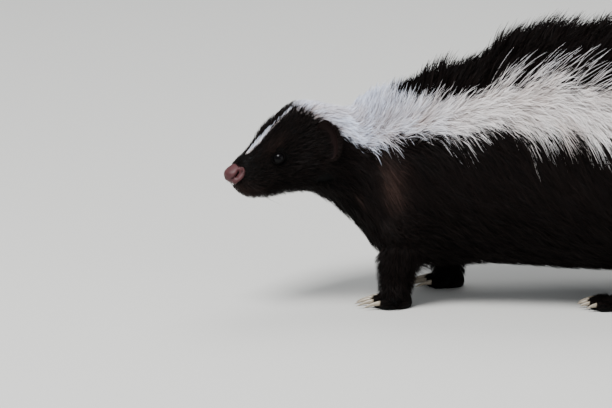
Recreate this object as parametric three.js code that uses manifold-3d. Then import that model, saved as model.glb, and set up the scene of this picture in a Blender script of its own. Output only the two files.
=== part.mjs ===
// A striped skunk, adult and life size, in mid step with its head low and turned to its left.
// Millimetres, +Z up. It faces -X, its left side is towards -Y, and its soles stand on Z = 0.
import * as THREE from "three";
import { mergeVertices } from "three/addons/utils/BufferGeometryUtils.js";
import Module from "manifold-3d";

const wasm = await Module();
wasm.setup();

// Driving dimensions: distances along the spine are counted back from the tip of the nose.
const noseAhead = 122.5; // of the left fore paw
const headTurn = THREE.MathUtils.degToRad(30);
const skullBack = 84; // where the head meets the neck
const turnStart = 80;
const turnEnd = 130; // where the neck has come back in line with the trunk
const neckBack = 112;
const tailRoot = 376;
const tailJoints = [450, 528];
const tailCoreEnd = 600;
const tailBend = THREE.MathUtils.degToRad(14);
const tailBendStart = 400;
const tailBendEnd = 560;
const muzzleFront = 6;
const gap = 0.3; // between neighbouring parts
const inlayGap = 0.75; // round a marking let into the coat
const hairGap = 0.35; // round the locks of another part
const coreShare = 0.45; // of the coat's depth that the body's core fills under the locks
const roundness = 2.15; // exponent of the body's cross-sections, where 2 is an ellipse
const degree = Math.PI / 180;

// Cross-sections square to the spine, out to the tips of the coat: distance behind the nose, height of
// the top and of the underside, half the width, how high the widest place lies as a share of the height,
// and the depth of the coat above, beside and below.
const bodySections = [
  ["muzzle tip", 6, 105.5, 92.5, 6.2, 0.5, 0.5, 0.5, 0.5],
  ["lips", 12, 110.5, 86, 9.6, 0.46, 1, 1, 1],
  ["muzzle", 18, 114, 82.4, 12, 0.44, 1.5, 1.5, 1.5],
  ["chin", 26, 120, 81.2, 15.2, 0.43, 2, 2, 2],
  ["eyes", 34, 127, 81.4, 18.8, 0.43, 2.5, 2.5, 2.5],
  ["brow", 44, 135, 82.8, 23.4, 0.42, 3, 3, 3],
  ["forehead", 54, 141, 83.2, 26.6, 0.42, 4, 3.5, 3],
  ["crown", 64, 144, 81.5, 28.4, 0.43, 5, 4, 3.5],
  ["back of skull", 76, 142.6, 76, 29.8, 0.46, 6, 4.5, 4],
  ["nape", 88, 138.5, 69, 31.5, 0.5, 8, 6, 5],
  ["neck", 99, 136, 59, 35, 0.52, 11, 8, 6],
  ["ruff", 108, 141, 50, 38.5, 0.52, 15, 9, 6],
  ["chest", 118, 147, 38, 42, 0.52, 18, 10, 7],
  ["withers", 135, 154, 27, 47, 0.5, 21, 11, 8],
  ["shoulder", 160, 166, 25, 52, 0.5, 24, 13, 10],
  ["ribs", 190, 179, 25, 57, 0.48, 28, 14, 10],
  ["back", 220, 190, 24, 61, 0.46, 30, 15, 11],
  ["loin", 250, 196, 22, 65, 0.45, 32, 16, 12],
  ["flank", 280, 196, 21, 68, 0.44, 32, 17, 12],
  ["hip", 310, 188, 24, 68, 0.45, 32, 18, 14],
  ["rump", 335, 174, 34, 63, 0.48, 30, 18, 15],
  ["seat", 355, 157, 54, 50, 0.5, 27, 18, 16],
  ["tail head", 368, 143, 76, 36, 0.52, 24, 18, 20],
  ["tail root", 380, 137, 84, 29, 0.54, 22, 18, 26],
  ["tail base", 410, 139, 70, 33, 0.58, 24, 23, 36],
  ["tail quarter", 450, 138, 56, 39, 0.6, 29, 30, 42],
  ["mid tail", 490, 130, 44, 43, 0.61, 33, 35, 45],
  ["tail plume", 530, 115, 34, 43, 0.61, 34, 36, 42],
  ["tail end", 570, 96, 28, 37, 0.61, 30, 31, 35],
  ["last bone", 600, 80, 28, 28, 0.6, 23, 24, 25],
  ["tail tips", 640, 58, 38, 10, 0.5, 9, 9, 9],
];

// Soft forms of the head that the plain sections don't hold, each a low swelling or hollow on both sides.
const headForms = [
  { name: "eye hollow", at: 30, turn: 60, out: -1.7, long: 8, round: 17 },
  { name: "brow ridge", at: 39, turn: 40, out: 1.3, long: 8, round: 14 },
  { name: "cheek", at: 56, turn: 102, out: 2.2, long: 13, round: 24 },
  { name: "whisker pad", at: 14, turn: 92, out: 1.3, long: 5.5, round: 28 },
  { name: "throat hollow", at: 74, turn: 150, out: -1.5, long: 10, round: 30 },
];

// Markings, as angles from the middle of the back at distances behind the nose.
const blazeEdges = [
  ["bridge", 16, 9],
  ["nose", 24, 9],
  ["between the eyes", 34, 6],
  ["brow", 43, 3.4],
  ["forehead", 51, 2.2],
];
const napeEdges = [
  ["crown", 58, 16],
  ["back of crown", 66, 38],
  ["back of skull", 78, 50],
  ["neck", 95, 56],
  ["ruff", 112, 60],
  ["withers", 141, 60],
];
const stripeEdges = [
  ["split", 142, 7, 60],
  ["shoulder", 152, 17, 62],
  ["ribs", 168, 29, 65],
  ["back", 200, 31, 73],
  ["loin", 240, 33, 79],
  ["flank", 283, 42, 86],
  ["hip", 320, 50, 88],
  ["rump", 350, 56, 90],
  ["tail root", 374, 60, 92],
];

const colours = {
  blackCoat: 0x14110f,
  whiteCoat: 0xe9e4dc,
  noseSkin: 0x8a5a55,
  earSkin: 0x3b2320,
  eye: 0x0b0908,
  claw: 0x8d8478,
  sole: 0x2a2322,
};

// Smooth curve through rows of numbers that never overshoots them.
function through(places, values) {
  const last = places.length - 1;
  const slope = places.slice(1).map((p, i) => (values[i + 1] - values[i]) / (p - places[i]));
  const tangent = values.map((v, i) => {
    if (i === 0) return slope[0];
    if (i === last) return slope[last - 1];
    if (slope[i - 1] * slope[i] <= 0) return 0;
    const before = places[i] - places[i - 1];
    const after = places[i + 1] - places[i];
    const a = 2 * after + before;
    const b = after + 2 * before;
    return (a + b) / (a / slope[i - 1] + b / slope[i]);
  });
  return (p) => {
    const x = Math.min(Math.max(p, places[0]), places[last]);
    let i = 0;
    while (i < last - 1 && x > places[i + 1]) i += 1;
    const span = places[i + 1] - places[i];
    const u = (x - places[i]) / span;
    const w = 1 - u;
    return (
      (1 + 2 * u) * w * w * values[i] +
      u * w * w * span * tangent[i] +
      u * u * (3 - 2 * u) * values[i + 1] -
      u * u * w * span * tangent[i + 1]
    );
  };
}

// One curve for each column of a table whose rows start with a name and a place.
function columns(rows) {
  const places = rows.map((row) => row[1]);
  return rows[0].slice(2).map((_, k) => through(places, rows.map((row) => row[k + 2])));
}

const [topAt, underAt, halfAt, widestAt, coatAbove, coatBeside, coatBelow] = columns(bodySections);
const [blazeHalf] = columns(blazeEdges);
const [napeHalf] = columns(napeEdges);
const [stripeUpper, stripeLower] = columns(stripeEdges);
const smooth = (x) => THREE.MathUtils.smoothstep(x, 0, 1);

// Direction of the spine seen from above, as an angle from +X.
function heading(at) {
  const neck = headTurn * (1 - smooth((at - turnStart) / (turnEnd - turnStart)));
  return neck + tailBend * smooth((at - tailBendStart) / (tailBendEnd - tailBendStart));
}

// The spine's plan at every millimetre, in line with the X axis along the trunk.
const plan = [[-noseAhead, 0]];
for (let at = 0; at < 680; at += 1) {
  const [x, y] = plan[at];
  plan.push([x + Math.cos(heading(at + 0.5)), y + Math.sin(heading(at + 0.5))]);
}
const sideways = plan[turnEnd][1];

function spineAt(at) {
  const i = Math.min(Math.max(Math.floor(at), 0), plan.length - 2);
  const u = at - i;
  const x = plan[i][0] + u * (plan[i + 1][0] - plan[i][0]);
  const y = plan[i][1] + u * (plan[i + 1][1] - plan[i][1]);
  return { x, y: y - sideways, turn: heading(at) };
}

// Share of the coat's depth that the solid core fills: all of it on the short-haired head.
const coreAt = (at) => 1 - (1 - coreShare) * smooth((at - 70) / 45);
const power = (value, exponent) => Math.sign(value) * Math.abs(value) ** exponent;

function headForm(at, turn) {
  return headForms.reduce((sum, form) => {
    const along = (at - form.at) / form.long;
    const round = (Math.abs(turn) - form.turn) / form.round;
    return sum + form.out * Math.exp(-along * along - round * round);
  }, 0);
}

// A point of the body at a distance behind the nose and an angle from the middle of the back, positive
// to the animal's left. level 0 is the skin and 1 the tips of the coat, and lift is added outwards.
function bodyPoint(at, turn, level, lift = 0) {
  const spine = spineAt(at);
  const top = topAt(at);
  const under = underAt(at);
  const middle = under + widestAt(at) * (top - under);
  const bare = 1 - level;
  const extra = lift + headForm(at, turn);
  const up = top - middle - bare * coatAbove(at) + extra;
  const down = middle - under - bare * coatBelow(at) + extra;
  const side = halfAt(at) - bare * coatBeside(at) + extra;
  const sine = power(Math.sin(turn * degree), 2 / roundness);
  const cosine = power(Math.cos(turn * degree), 2 / roundness);
  const left = side * sine;
  return new THREE.Vector3(
    spine.x + left * Math.sin(spine.turn),
    spine.y - left * Math.cos(spine.turn),
    middle + (cosine > 0 ? up : down) * cosine,
  );
}

// A closed geometry as a solid, with its repeated vertices merged.
function solid(geometry) {
  const plain = geometry.clone();
  plain.deleteAttribute("normal");
  plain.deleteAttribute("uv");
  const merged = mergeVertices(plain, 1e-4);
  const made = new wasm.Manifold(
    new wasm.Mesh({
      numProp: 3,
      vertProperties: new Float32Array(merged.attributes.position.array),
      triVerts: new Uint32Array(merged.index.array),
    }),
  );
  if (made.volume() > 0) return made;
  const turned = new Uint32Array(merged.index.array);
  for (let i = 0; i < turned.length; i += 3) {
    [turned[i + 1], turned[i + 2]] = [turned[i + 2], turned[i + 1]];
  }
  return new wasm.Manifold(
    new wasm.Mesh({
      numProp: 3,
      vertProperties: new Float32Array(merged.attributes.position.array),
      triVerts: turned,
    }),
  );
}

// Moves each vertex of a geometry to where place sends its position.
function moved(geometry, place) {
  const points = geometry.attributes.position;
  const point = new THREE.Vector3();
  for (let i = 0; i < points.count; i += 1) {
    const to = place(point.fromBufferAttribute(points, i));
    points.setXYZ(i, to.x, to.y, to.z);
  }
  return geometry;
}

const join = (solids) => wasm.Manifold.union(solids);
const ball = (size, place, sides = 14, rings = 10) => {
  const geometry = new THREE.SphereGeometry(1, sides, rings).scale(...size);
  return solid(geometry.applyMatrix4(place));
};
const placed = (x, y, z) => new THREE.Matrix4().makeTranslation(x, y, z);

// A length of the body between two distances behind the nose.
function bodyLength(from, to, sides, rings, lift = 0, levelOf = coreAt) {
  const tube = new THREE.CylinderGeometry(1, 1, 1, sides, rings);
  return solid(
    moved(tube, ({ x, y, z }) => {
      const at = from + (0.5 - y) * (to - from);
      const turn = Math.atan2(x, z) / degree;
      if (x * x + z * z > 0.5) return bodyPoint(at, turn, levelOf(at), lift);
      const back = bodyPoint(at, 0, levelOf(at), lift);
      return back.add(bodyPoint(at, 180, levelOf(at), lift)).multiplyScalar(0.5);
    }),
  );
}

// A patch let into the body's surface between two angles, for a marking of its own colour. With grow it
// is the room that the patch needs, open to the outside.
function inlay(from, to, lowAt, highAt, depth, along, across, grow = 0, above = 2 * grow) {
  const patch = new THREE.BoxGeometry(1, 1, 1, along, across, 1);
  const edge = (share) => (Math.abs(share) > 0.49 ? Math.sign(share) * grow : 0);
  return solid(
    moved(patch, ({ x, y, z }) => {
      const at = from + (x + 0.5) * (to - from);
      const turn = lowAt(at) + (y + 0.5) * (highAt(at) - lowAt(at));
      const lift = z > 0 ? above : -depth - grow;
      const aside = edge(y) / halfAt(at) / degree;
      return bodyPoint(at + edge(x), turn + aside, coreAt(at), lift);
    }),
  );
}

// A limb of level sections: height, place along X and Y, half the length and half the width.
function limb(rows, sides, rings, grow = 0) {
  const heights = rows.map((row) => row[0]);
  const [xAt, yAt, longAt, wideAt] = [1, 2, 3, 4].map((k) => {
    const ordered = rows.map((row) => row[k]).reverse();
    return through([...heights].reverse(), ordered);
  });
  const tube = new THREE.CylinderGeometry(1, 1, 1, sides, rings);
  const low = heights[heights.length - 1];
  return solid(
    moved(tube, ({ x, y, z }) => {
      const height = low + (y + 0.5) * (heights[0] - low);
      return new THREE.Vector3(
        xAt(height) + z * (longAt(height) + grow),
        yAt(height) + x * (wideAt(height) + grow),
        height,
      );
    }),
  );
}

// The long coat: rows of flat, tapered locks that lie back along the body, each row lapping the next.
// Distances behind the nose where a row of each patch may start, how far apart rows and locks lie, the
// length and half width of a lock, how far it turns down the flank, and how thick it is at its ridge.
const coat = {
  nape: { from: 74, to: 117, step: 14, spacing: 16, long: 32, half: 9, turn: 3, thick: 2 },
  neck: { from: 98, to: 98, step: 14, spacing: 27, long: 32, half: 12, turn: 5, thick: 2 },
  stripe: { from: 154, to: 336, step: 26, spacing: 23, long: 44, half: 11, turn: 3, thick: 2.2 },
  back: { from: 166, to: 336, step: 28, spacing: 26, long: 44, half: 11, turn: 0, thick: 2.2 },
  flank: { from: 126, to: 336, step: 34, spacing: 39, long: 52, half: 17, turn: 8, thick: 2.4 },
  tail: { step: 27, spacing: 31, long: 66, half: 12.5, turn: 0, thick: 2.2 },
};
const lockRoot = 4; // how deep a lock is sunk in the core
const lockRise = [0, 0.5, 0.84, 1]; // of the coat's depth over the core, at the thirds of a lock
const lockWidth = [0.55, 1, 0.78, 0];
const lockDepth = [0.8, 1, 0.7, 0];
const edgeRoom = 8.5; // between the roots of a patch and the patch of another colour

// A repeatable draw between -1 and 1.
let seed = 21;
function draw() {
  seed = (seed * 1664525 + 1013904223) % 4294967296;
  return (seed / 4294967296) * 2 - 1;
}

// One lock from its root on the core to its tip at the coat's outline, as a solid. With grow it is the
// room that the lock needs.
function lock({ at, turn, long, half, aside, thick, reach }, grow = 0) {
  const cone = new THREE.ConeGeometry(1, 1, 3, 3);
  return solid(
    moved(cone, ({ x, y, z }) => {
      const u = y + 0.5;
      const step = Math.round(u * 3);
      const place = at + long * u;
      const angle = turn + aside * u * u;
      const core = coreAt(place);
      const level = core + (reach - core) * lockRise[step];
      const sink = step === 0 ? -lockRoot : 0;
      const centre = bodyPoint(place, angle, level, sink);
      const out = bodyPoint(place, angle, level, sink + 5).sub(centre).normalize();
      const ahead = bodyPoint(place + 1, angle, level, sink).sub(centre);
      const across = new THREE.Vector3().crossVectors(out, ahead).normalize();
      if (x * x + z * z < 1e-9) return centre.addScaledVector(ahead, (u > 0.5 ? 1 : -1) * grow);
      const ring = Math.atan2(x, z);
      centre.addScaledVector(across, Math.sin(ring) * (half * lockWidth[step] + 6 * grow));
      return centre.addScaledVector(out, Math.cos(ring) * (thick * lockDepth[step] + 2 * grow));
    }),
  );
}

// The places of a patch's locks: rows back along the spine, between two edges given as angles.
function patch({ from, to, step, spacing, long, half, turn, thick }, lowAt, highAt) {
  const places = [];
  for (let row = 0, at = from; at <= to; row += 1, at += step) {
    const radius = (0.5 * halfAt(at) + 0.25 * (topAt(at) - underAt(at))) * degree;
    const low = lowAt(at);
    const high = highAt(at);
    const count = Math.max(Math.round(((high - low) * radius) / spacing), high > low ? 1 : 0);
    for (let i = 0; i < count; i += 1) {
      const share = (i + 0.5 + 0.22 * (row % 2 ? 1 : -1) * (count > 1 ? 1 : 0)) / count;
      const middle = (low + high) / 2;
      places.push({
        at: at + 3 * draw(),
        turn: low + share * (high - low) + (1.5 * draw()) / (radius * 57.3),
        long: long * (1 + 0.12 * draw()),
        half: half * (1 + 0.1 * draw()),
        aside: (turn * (low + share * (high - low) < 0 ? -1 : 1)) + 2 * draw() + 0 * middle,
        thick,
        reach: 1 - 0.05 * (1 + draw()),
      });
    }
  }
  return places;
}

const nodes = new THREE.Group();

// Keeps the largest closed surface of a solid, as one named mesh.
function addNode(name, made, colour, roughness = 0.9) {
  const pieces = made.decompose().sort((a, b) => b.volume() - a.volume());
  const mesh = pieces[0].getMesh();
  const geometry = new THREE.BufferGeometry()
    .setAttribute("position", new THREE.BufferAttribute(mesh.vertProperties, 3))
    .setIndex(new THREE.BufferAttribute(mesh.triVerts, 1));
  geometry.computeVertexNormals();
  const material = new THREE.MeshStandardMaterial({ color: colour, roughness, metalness: 0 });
  const node = new THREE.Mesh(geometry, material);
  node.name = name;
  nodes.add(node);
  return node;
}

// Head frame: X back along the skull from the nose tip, Y to the animal's right, Z up.
const headPlace = new THREE.Matrix4()
  .makeRotationZ(headTurn)
  .setPosition(-noseAhead, -sideways, 0);
const inHead = (local) => new THREE.Matrix4().multiplyMatrices(headPlace, local);

// Nose pad with its comma nostrils and the groove down to the lip.
const nose = { at: 8.2, height: 99.4, long: 8, half: 6.5, tall: 6.9 };

function noseBall(grow) {
  const size = [nose.long + grow, nose.half + grow, nose.tall + grow];
  return ball(size, inHead(placed(nose.at, 0, nose.height)), 14, 9);
}

function nosePad() {
  const cuts = [];
  for (const side of [-1, 1]) {
    const hole = placed(nose.at - 6.1, side * 3.3, nose.height - 0.6);
    cuts.push(ball([3, 1.5, 1.9], inHead(hole), 8, 6));
    const slit = placed(nose.at - 3.2, side * 5.6, nose.height - 1.9);
    slit.multiply(new THREE.Matrix4().makeRotationZ(-side * 0.75));
    slit.multiply(new THREE.Matrix4().makeRotationY(-0.25));
    cuts.push(ball([3.6, 1.2, 0.7], inHead(slit), 8, 5));
  }
  cuts.push(ball([1.4, 0.45, 5], inHead(placed(nose.at - 7.4, 0, nose.height - 4.6)), 6, 6));
  return noseBall(0).subtract(join(cuts));
}

// Eyes: balls set in the head, inside a ring of lids.
const eye = { at: 34, height: 111.6, radius: 5, lidRadius: 4.2, lidThick: 1.2, sunk: 3.1 };

// Where one eye looks out, with its centre, as a matrix whose Z axis leaves the head.
function eyePlace(side) {
  const top = topAt(eye.at);
  const under = underAt(eye.at);
  const middle = under + widestAt(eye.at) * (top - under);
  const cosine = (eye.height - middle) / (top - middle);
  const turn = (side * Math.acos(cosine ** (roundness / 2))) / degree;
  const surface = bodyPoint(eye.at, turn, 1);
  const along = bodyPoint(eye.at + 2, turn, 1).sub(bodyPoint(eye.at - 2, turn, 1));
  const round = bodyPoint(eye.at, turn + 3, 1).sub(bodyPoint(eye.at, turn - 3, 1));
  const out = new THREE.Vector3().crossVectors(round, along).normalize();
  const outwards = new THREE.Vector3(0, -side, 0).transformDirection(headPlace);
  if (out.dot(outwards) < 0) out.negate();
  const back = along.normalize();
  const up = new THREE.Vector3().crossVectors(out, back);
  const frame = new THREE.Matrix4().makeBasis(back, up, out);
  return frame.setPosition(surface.addScaledVector(out, -eye.sunk));
}

function eyeBall(side, grow) {
  const radius = eye.radius + grow;
  return ball([radius, radius, radius], eyePlace(side), 10, 8);
}

function lids(side) {
  const ring = new THREE.TorusGeometry(eye.lidRadius, eye.lidThick, 4, 12);
  const form = ring.scale(1.16, 0.92, 1).translate(0, 0, eye.sunk - 0.1);
  return solid(form.applyMatrix4(eyePlace(side)));
}

// Mouth: the line of the lips in the head's side plane, from under the nose to the corner.
const mouthLine = [
  [8.5, 89.4],
  [14, 88.2],
  [22, 88.4],
  [29, 89.8],
  [34, 91.6],
];
const jawHinge = [
  [38, 85],
  [47, 72],
];

function jawBlock(grow) {
  const outline = new THREE.Shape();
  outline.moveTo(-10, mouthLine[0][1] + grow);
  for (const [x, z] of [...mouthLine, ...jawHinge]) outline.lineTo(x + grow, z + grow);
  outline.lineTo(-10, jawHinge[1][1] + grow);
  const block = new THREE.ExtrudeGeometry(outline, { depth: 80, bevelEnabled: false });
  block.rotateX(Math.PI / 2).translate(0, 40, 0);
  return solid(block.applyMatrix4(headPlace));
}

// A soft roll of lip above or below the mouth line, on both sides.
function lip(rise, thick) {
  const rolls = [-1, 1].map((side) => {
    const points = mouthLine.map(([at, height]) => {
      const top = topAt(at);
      const under = underAt(at);
      const middle = under + widestAt(at) * (top - under);
      const cosine = Math.min((middle - height - rise) / (middle - under), 0.98);
      const turn = 180 - Math.acos(Math.max(cosine, 0) ** (roundness / 2)) / degree;
      return bodyPoint(at, side * turn, 1, -0.4 * thick);
    });
    const path = new THREE.CatmullRomCurve3(points);
    const section = new THREE.Shape().absarc(0, 0, thick, 0, 2 * Math.PI);
    const roll = { steps: 7, curveSegments: 2, extrudePath: path };
    return solid(new THREE.ExtrudeGeometry(section, roll));
  });
  return join(rolls);
}

// Ears: low round cups at the sides of the skull.
const ear = { at: 69, out: 27.5, height: 122, half: 9.5, tall: 13.5, thick: 5.5, splay: 0.85 };

function earCup(side) {
  const place = placed(ear.at, side * ear.out, ear.height);
  place.multiply(new THREE.Matrix4().makeRotationZ(-side * ear.splay));
  place.multiply(new THREE.Matrix4().makeRotationX(side * 0.22));
  const outer = ball([ear.thick, ear.half, ear.tall], inHead(place), 10, 8);
  const cup = place.clone().multiply(placed(-3.4, side * 0.4, -0.4));
  const hollow = [ear.thick - 0.9, ear.half - 2.2, ear.tall - 2.6];
  const fold = place.clone().multiply(placed(-2.2, side * 1.5, -6.5));
  const inner = ball(hollow, inHead(cup), 8, 7);
  return outer.subtract(inner).add(ball([2, 2.4, 3.6], inHead(fold), 6, 5));
}

// Legs as level sections from the body down to the wrist or ankle, then the paw.
const legs = {
  left_fore: {
    fore: true,
    side: -1,
    rows: [
      [92, 14, -27, 24, 13],
      [70, 11, -31, 21, 15],
      [52, 6, -32, 17, 13.5],
      [34, 0, -31, 13, 11.5],
      [20, -3, -30, 11, 10.5],
      [4, -4, -30, 11, 10.5],
    ],
    paw: { front: -17, back: 9, half: 12.5, top: 15, y: -30 },
  },
  right_fore: {
    fore: true,
    side: 1,
    rows: [
      [92, 14, 27, 24, 13],
      [70, 16, 31, 21, 15],
      [52, 22, 31, 17, 13.5],
      [34, 30, 29.5, 13, 11.5],
      [20, 34, 28.5, 11, 10.5],
      [4, 35, 28, 11, 10.5],
    ],
    paw: { front: 21, back: 47, half: 12.5, top: 15, y: 28 },
  },
  left_hind: {
    fore: false,
    side: -1,
    rows: [
      [96, 186, -38, 36, 21],
      [80, 181, -40, 39, 22.5],
      [64, 174, -40, 35, 21],
      [44, 170, -38, 24, 16],
      [28, 178, -36, 15, 12],
      [16, 183, -35, 11.5, 10.5],
      [4, 183, -35, 11, 10.5],
    ],
    paw: { front: 134, back: 194, half: 12.5, top: 13, y: -35 },
  },
  right_hind: {
    fore: false,
    side: 1,
    rows: [
      [96, 190, 38, 36, 21],
      [80, 188, 40, 39, 22.5],
      [64, 188, 40, 34, 20],
      [44, 194, 37, 24, 16],
      [28, 206, 34, 15, 12],
      [16, 213, 33, 11.5, 10.5],
      [4, 213, 33, 11, 10.5],
    ],
    paw: { front: 163, back: 224, half: 12.5, top: 13, y: 33 },
  },
};
const wrist = 16;
const toeSpread = [-0.8, -0.42, 0, 0.42, 0.8]; // share of the paw's half width
const toeBack = [5, 1.4, 0, 1.4, 6]; // how far each toe lies behind the foremost, from the outer side
const floorBlock = solid(new THREE.BoxGeometry(900, 400, 40).translate(150, 0, -20));

// The pad of the paw, low at the toes and rounded at the heel, flat underneath.
function pawPad({ front, back, half, top, y }) {
  const tube = new THREE.SphereGeometry(1, 9, 6);
  const middle = (front + back) / 2;
  return solid(
    moved(tube, (p) => {
      const along = power(p.y, 0.75);
      const high = top * (0.62 + 0.38 * smooth((along + 1) / 2));
      const narrow = 1 - 0.16 * smooth((along + 1) / 2);
      return new THREE.Vector3(
        middle + along * ((back - front) / 2),
        y + power(p.x, 0.85) * half * narrow,
        (p.z > 0 ? high : 2.5) * power(p.z, 0.8),
      );
    }),
  );
}

const toeLong = (fore) => (fore ? 6.5 : 7);
const toeHalf = 2.75;
const toeTall = 4.4;
const toeHigh = 3.2;

function toe({ paw, fore, side }, index) {
  const x = paw.front + toeBack[index] + 2.2;
  const y = paw.y + side * toeSpread[index] * paw.half;
  return ball([toeLong(fore), toeHalf, toeTall], placed(x, y, toeHigh), 6, 4);
}

const clawSize = { fore: { long: 11, thick: 1.5 }, hind: { long: 6.5, thick: 1.35 } };

function claw({ paw, fore, side }, index) {
  const { long, thick } = fore ? clawSize.fore : clawSize.hind;
  const half = toeLong(fore) + gap;
  const middle = paw.front + toeBack[index] + 2.2;
  const root = middle - half;
  const y = paw.y + side * toeSpread[index] * paw.half;
  const spike = new THREE.ConeGeometry(1, 1, 5, 2);
  return solid(
    moved(spike, (p) => {
      const u = p.y + 0.5;
      const size = u > 0.99 ? 0 : thick * (1 - u) ** 0.7;
      const ring = p.x * p.x + p.z * p.z < 1e-9 ? 0 : 1;
      const turn = Math.atan2(p.x, p.z);
      const aside = 0.8 * size * ring * Math.sin(turn);
      const high = 1.6 - long * 0.3 * u * u + 1.25 * size * ring * Math.cos(turn);
      const curve = 1 - (aside / (toeHalf + gap)) ** 2 - (high / (toeTall + gap)) ** 2;
      const x = u < 0.01 ? middle - half * Math.sqrt(Math.max(curve, 0)) : root - long * u;
      return new THREE.Vector3(x, y + side * toeSpread[index] * 2.5 * u + aside, toeHigh + high);
    }),
  );
}

// The leg's row at a height, in between those of the table.
function legRow({ rows }, height) {
  const heights = rows.map((row) => row[0]).reverse();
  const at = [1, 2, 3, 4].map((k) => through(heights, rows.map((row) => row[k]).reverse())(height));
  return [height, ...at];
}

function shank(leg, grow = 0) {
  const rows = leg.rows.filter((row) => row[0] > wrist);
  return limb([...rows, legRow(leg, wrist + gap / 2)], 10, 8, grow);
}

function addLeg(name, leg, trunkRoom) {
  const below = leg.rows.filter((row) => row[0] < wrist);
  const stub = limb([legRow(leg, wrist - gap / 2), ...below], 9, 1);
  const toes = toeSpread.map((_, i) => toe(leg, i));
  addNode(name + "_leg", shank(leg).subtract(trunkRoom), colours.blackCoat);
  addNode(name + "_paw", join([pawPad(leg.paw), stub, ...toes]).subtract(floorBlock), colours.sole);
  toeSpread.forEach((_, i) => {
    addNode(`${name}_claw_${i + 1}`, claw(leg, i), colours.claw, 0.4);
  });
}

function addHead() {
  const eyesRoom = join([-1, 1].map((side) => eyeBall(side, gap)));
  const lidRings = join([-1, 1].map(lids));
  const blazeLow = (at) => -blazeHalf(at);
  const blaze = (grow) => inlay(16, 51, blazeLow, blazeHalf, 1.4, 7, 2, grow);
  const napeRoom = nape(inlayGap);
  const skull = bodyLength(muzzleFront, skullBack - gap / 2, 24, 18).add(lidRings);
  const shaped = skull.subtract(eyesRoom).subtract(noseBall(gap)).subtract(blaze(inlayGap));
  const upper = shaped.add(lip(0.9, 0.9)).subtract(noseBall(gap));
  addNode("head", upper.subtract(jawBlock(gap)).subtract(napeRoom), colours.blackCoat);
  const jaw = shaped.add(lip(-0.9, 0.9).subtract(noseBall(gap))).intersect(jawBlock(0));
  addNode("lower_jaw", jaw, colours.blackCoat);
  addNode("blaze", blaze(0), colours.whiteCoat);
  addNode("nose", nosePad(), colours.noseSkin, 0.45);
  for (const [name, side] of [["left", -1], ["right", 1]]) {
    addNode(name + "_eye", eyeBall(-side, 0), colours.eye, 0.08);
    const headRoom = bodyLength(muzzleFront, skullBack - gap / 2, 24, 18, gap);
    addNode(name + "_ear", earCup(side).subtract(headRoom), colours.earSkin);
  }
}

const nape = (grow) => inlay(58, 141.5, (at) => -napeHalf(at), napeHalf, 4.5, 12, 5, grow);

function stripe(side, grow, above = 2 * grow) {
  const low = (at) => (side > 0 ? stripeUpper(at) : -stripeLower(at));
  const high = (at) => (side > 0 ? stripeLower(at) : -stripeUpper(at));
  return inlay(142, 374, low, high, 5, 14, 3, grow, above);
}

// Room in degrees that the roots of a patch keep from its edge.
const marginAt = (at) => edgeRoom / halfAt(at) / degree;
const blackFrom = (at) => (at < 142 ? napeHalf(at) : stripeLower(at)) + marginAt(at);

function patchLocks(name) {
  if (name === "nape") {
    const edge = (at) => napeHalf(at) - 0.8 * marginAt(at);
    return patch(coat.nape, (at) => -edge(at), edge);
  }
  if (name === "back") {
    const edge = (at) => stripeUpper(at) - 0.6 * marginAt(at);
    return patch(coat.back, (at) => -edge(at), edge);
  }
  if (name === "neck" || name === "flank") {
    const places = patch(coat[name], blackFrom, () => 176);
    return [...places, ...patch(coat[name], () => -176, (at) => -blackFrom(at))];
  }
  const side = name === "left_stripe" ? 1 : -1;
  const near = (at) => stripeUpper(at) + marginAt(at);
  const far = (at) => stripeLower(at) - marginAt(at);
  if (side > 0) return patch(coat.stripe, near, far);
  return patch(coat.stripe, (at) => -far(at), (at) => -near(at));
}

// Locks fused to the solid that they grow from, kept clear of the solids given as rooms.
function withLocks(base, places, rooms = []) {
  let hair = join(places.map((place) => lock(place)));
  for (const room of rooms) hair = hair.subtract(room);
  return base.add(hair);
}

const roomOf = (places) => join(places.map((place) => lock(place, hairGap)));

function addBody() {
  const limbs = Object.values(legs).map((leg) => shank(leg, gap));
  const slabs = join([stripe(1, inlayGap), stripe(-1, inlayGap), nape(inlayGap)]);
  const trunk = bodyLength(neckBack + gap / 2, tailRoot - gap / 2, 20, 16);
  const neck = bodyLength(skullBack + gap / 2, neckBack - gap / 2, 20, 3);
  const trunkRoom = bodyLength(neckBack + gap / 2, tailRoot - gap / 2, 20, 16, gap);
  const neckRoom = bodyLength(skullBack + gap / 2, neckBack + gap, 20, 3, gap);
  const napeLocks = patchLocks("nape");
  const napeHair = roomOf(napeLocks);
  const neckLocks = patchLocks("neck");
  const neckHair = roomOf(neckLocks);
  const sides = { left_stripe: 1, right_stripe: -1 };
  const white = [napeHair];
  addNode("nape_stripe", withLocks(nape(0), napeLocks), colours.whiteCoat);
  for (const [name, side] of Object.entries(sides)) {
    const locks = patchLocks(name);
    addNode(name, withLocks(stripe(side, 0), locks, [napeHair]), colours.whiteCoat);
    white.push(roomOf(locks));
  }
  const whiteHair = join(white);
  const neckKeep = [whiteHair, slabs, trunkRoom, ...limbs];
  const dark = withLocks(neck.subtract(slabs), neckLocks, neckKeep);
  addNode("neck", dark.subtract(whiteHair), colours.blackCoat);
  const blackLocks = [...patchLocks("back"), ...patchLocks("flank")];
  const hair = [whiteHair, slabs, neckHair, ...limbs];
  const body = withLocks(trunk.subtract(slabs), blackLocks, hair);
  addNode("torso", body.subtract(whiteHair), colours.blackCoat);
  const legRoom = join([trunkRoom, neckRoom, stripe(1, gap, 0.6), stripe(-1, gap, 0.6), whiteHair]);
  for (const [name, leg] of Object.entries(legs)) addLeg(name, leg, legRoom);
  return roomOf(blackLocks.filter(({ at }) => at > 310)).add(whiteHair);
}

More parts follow.
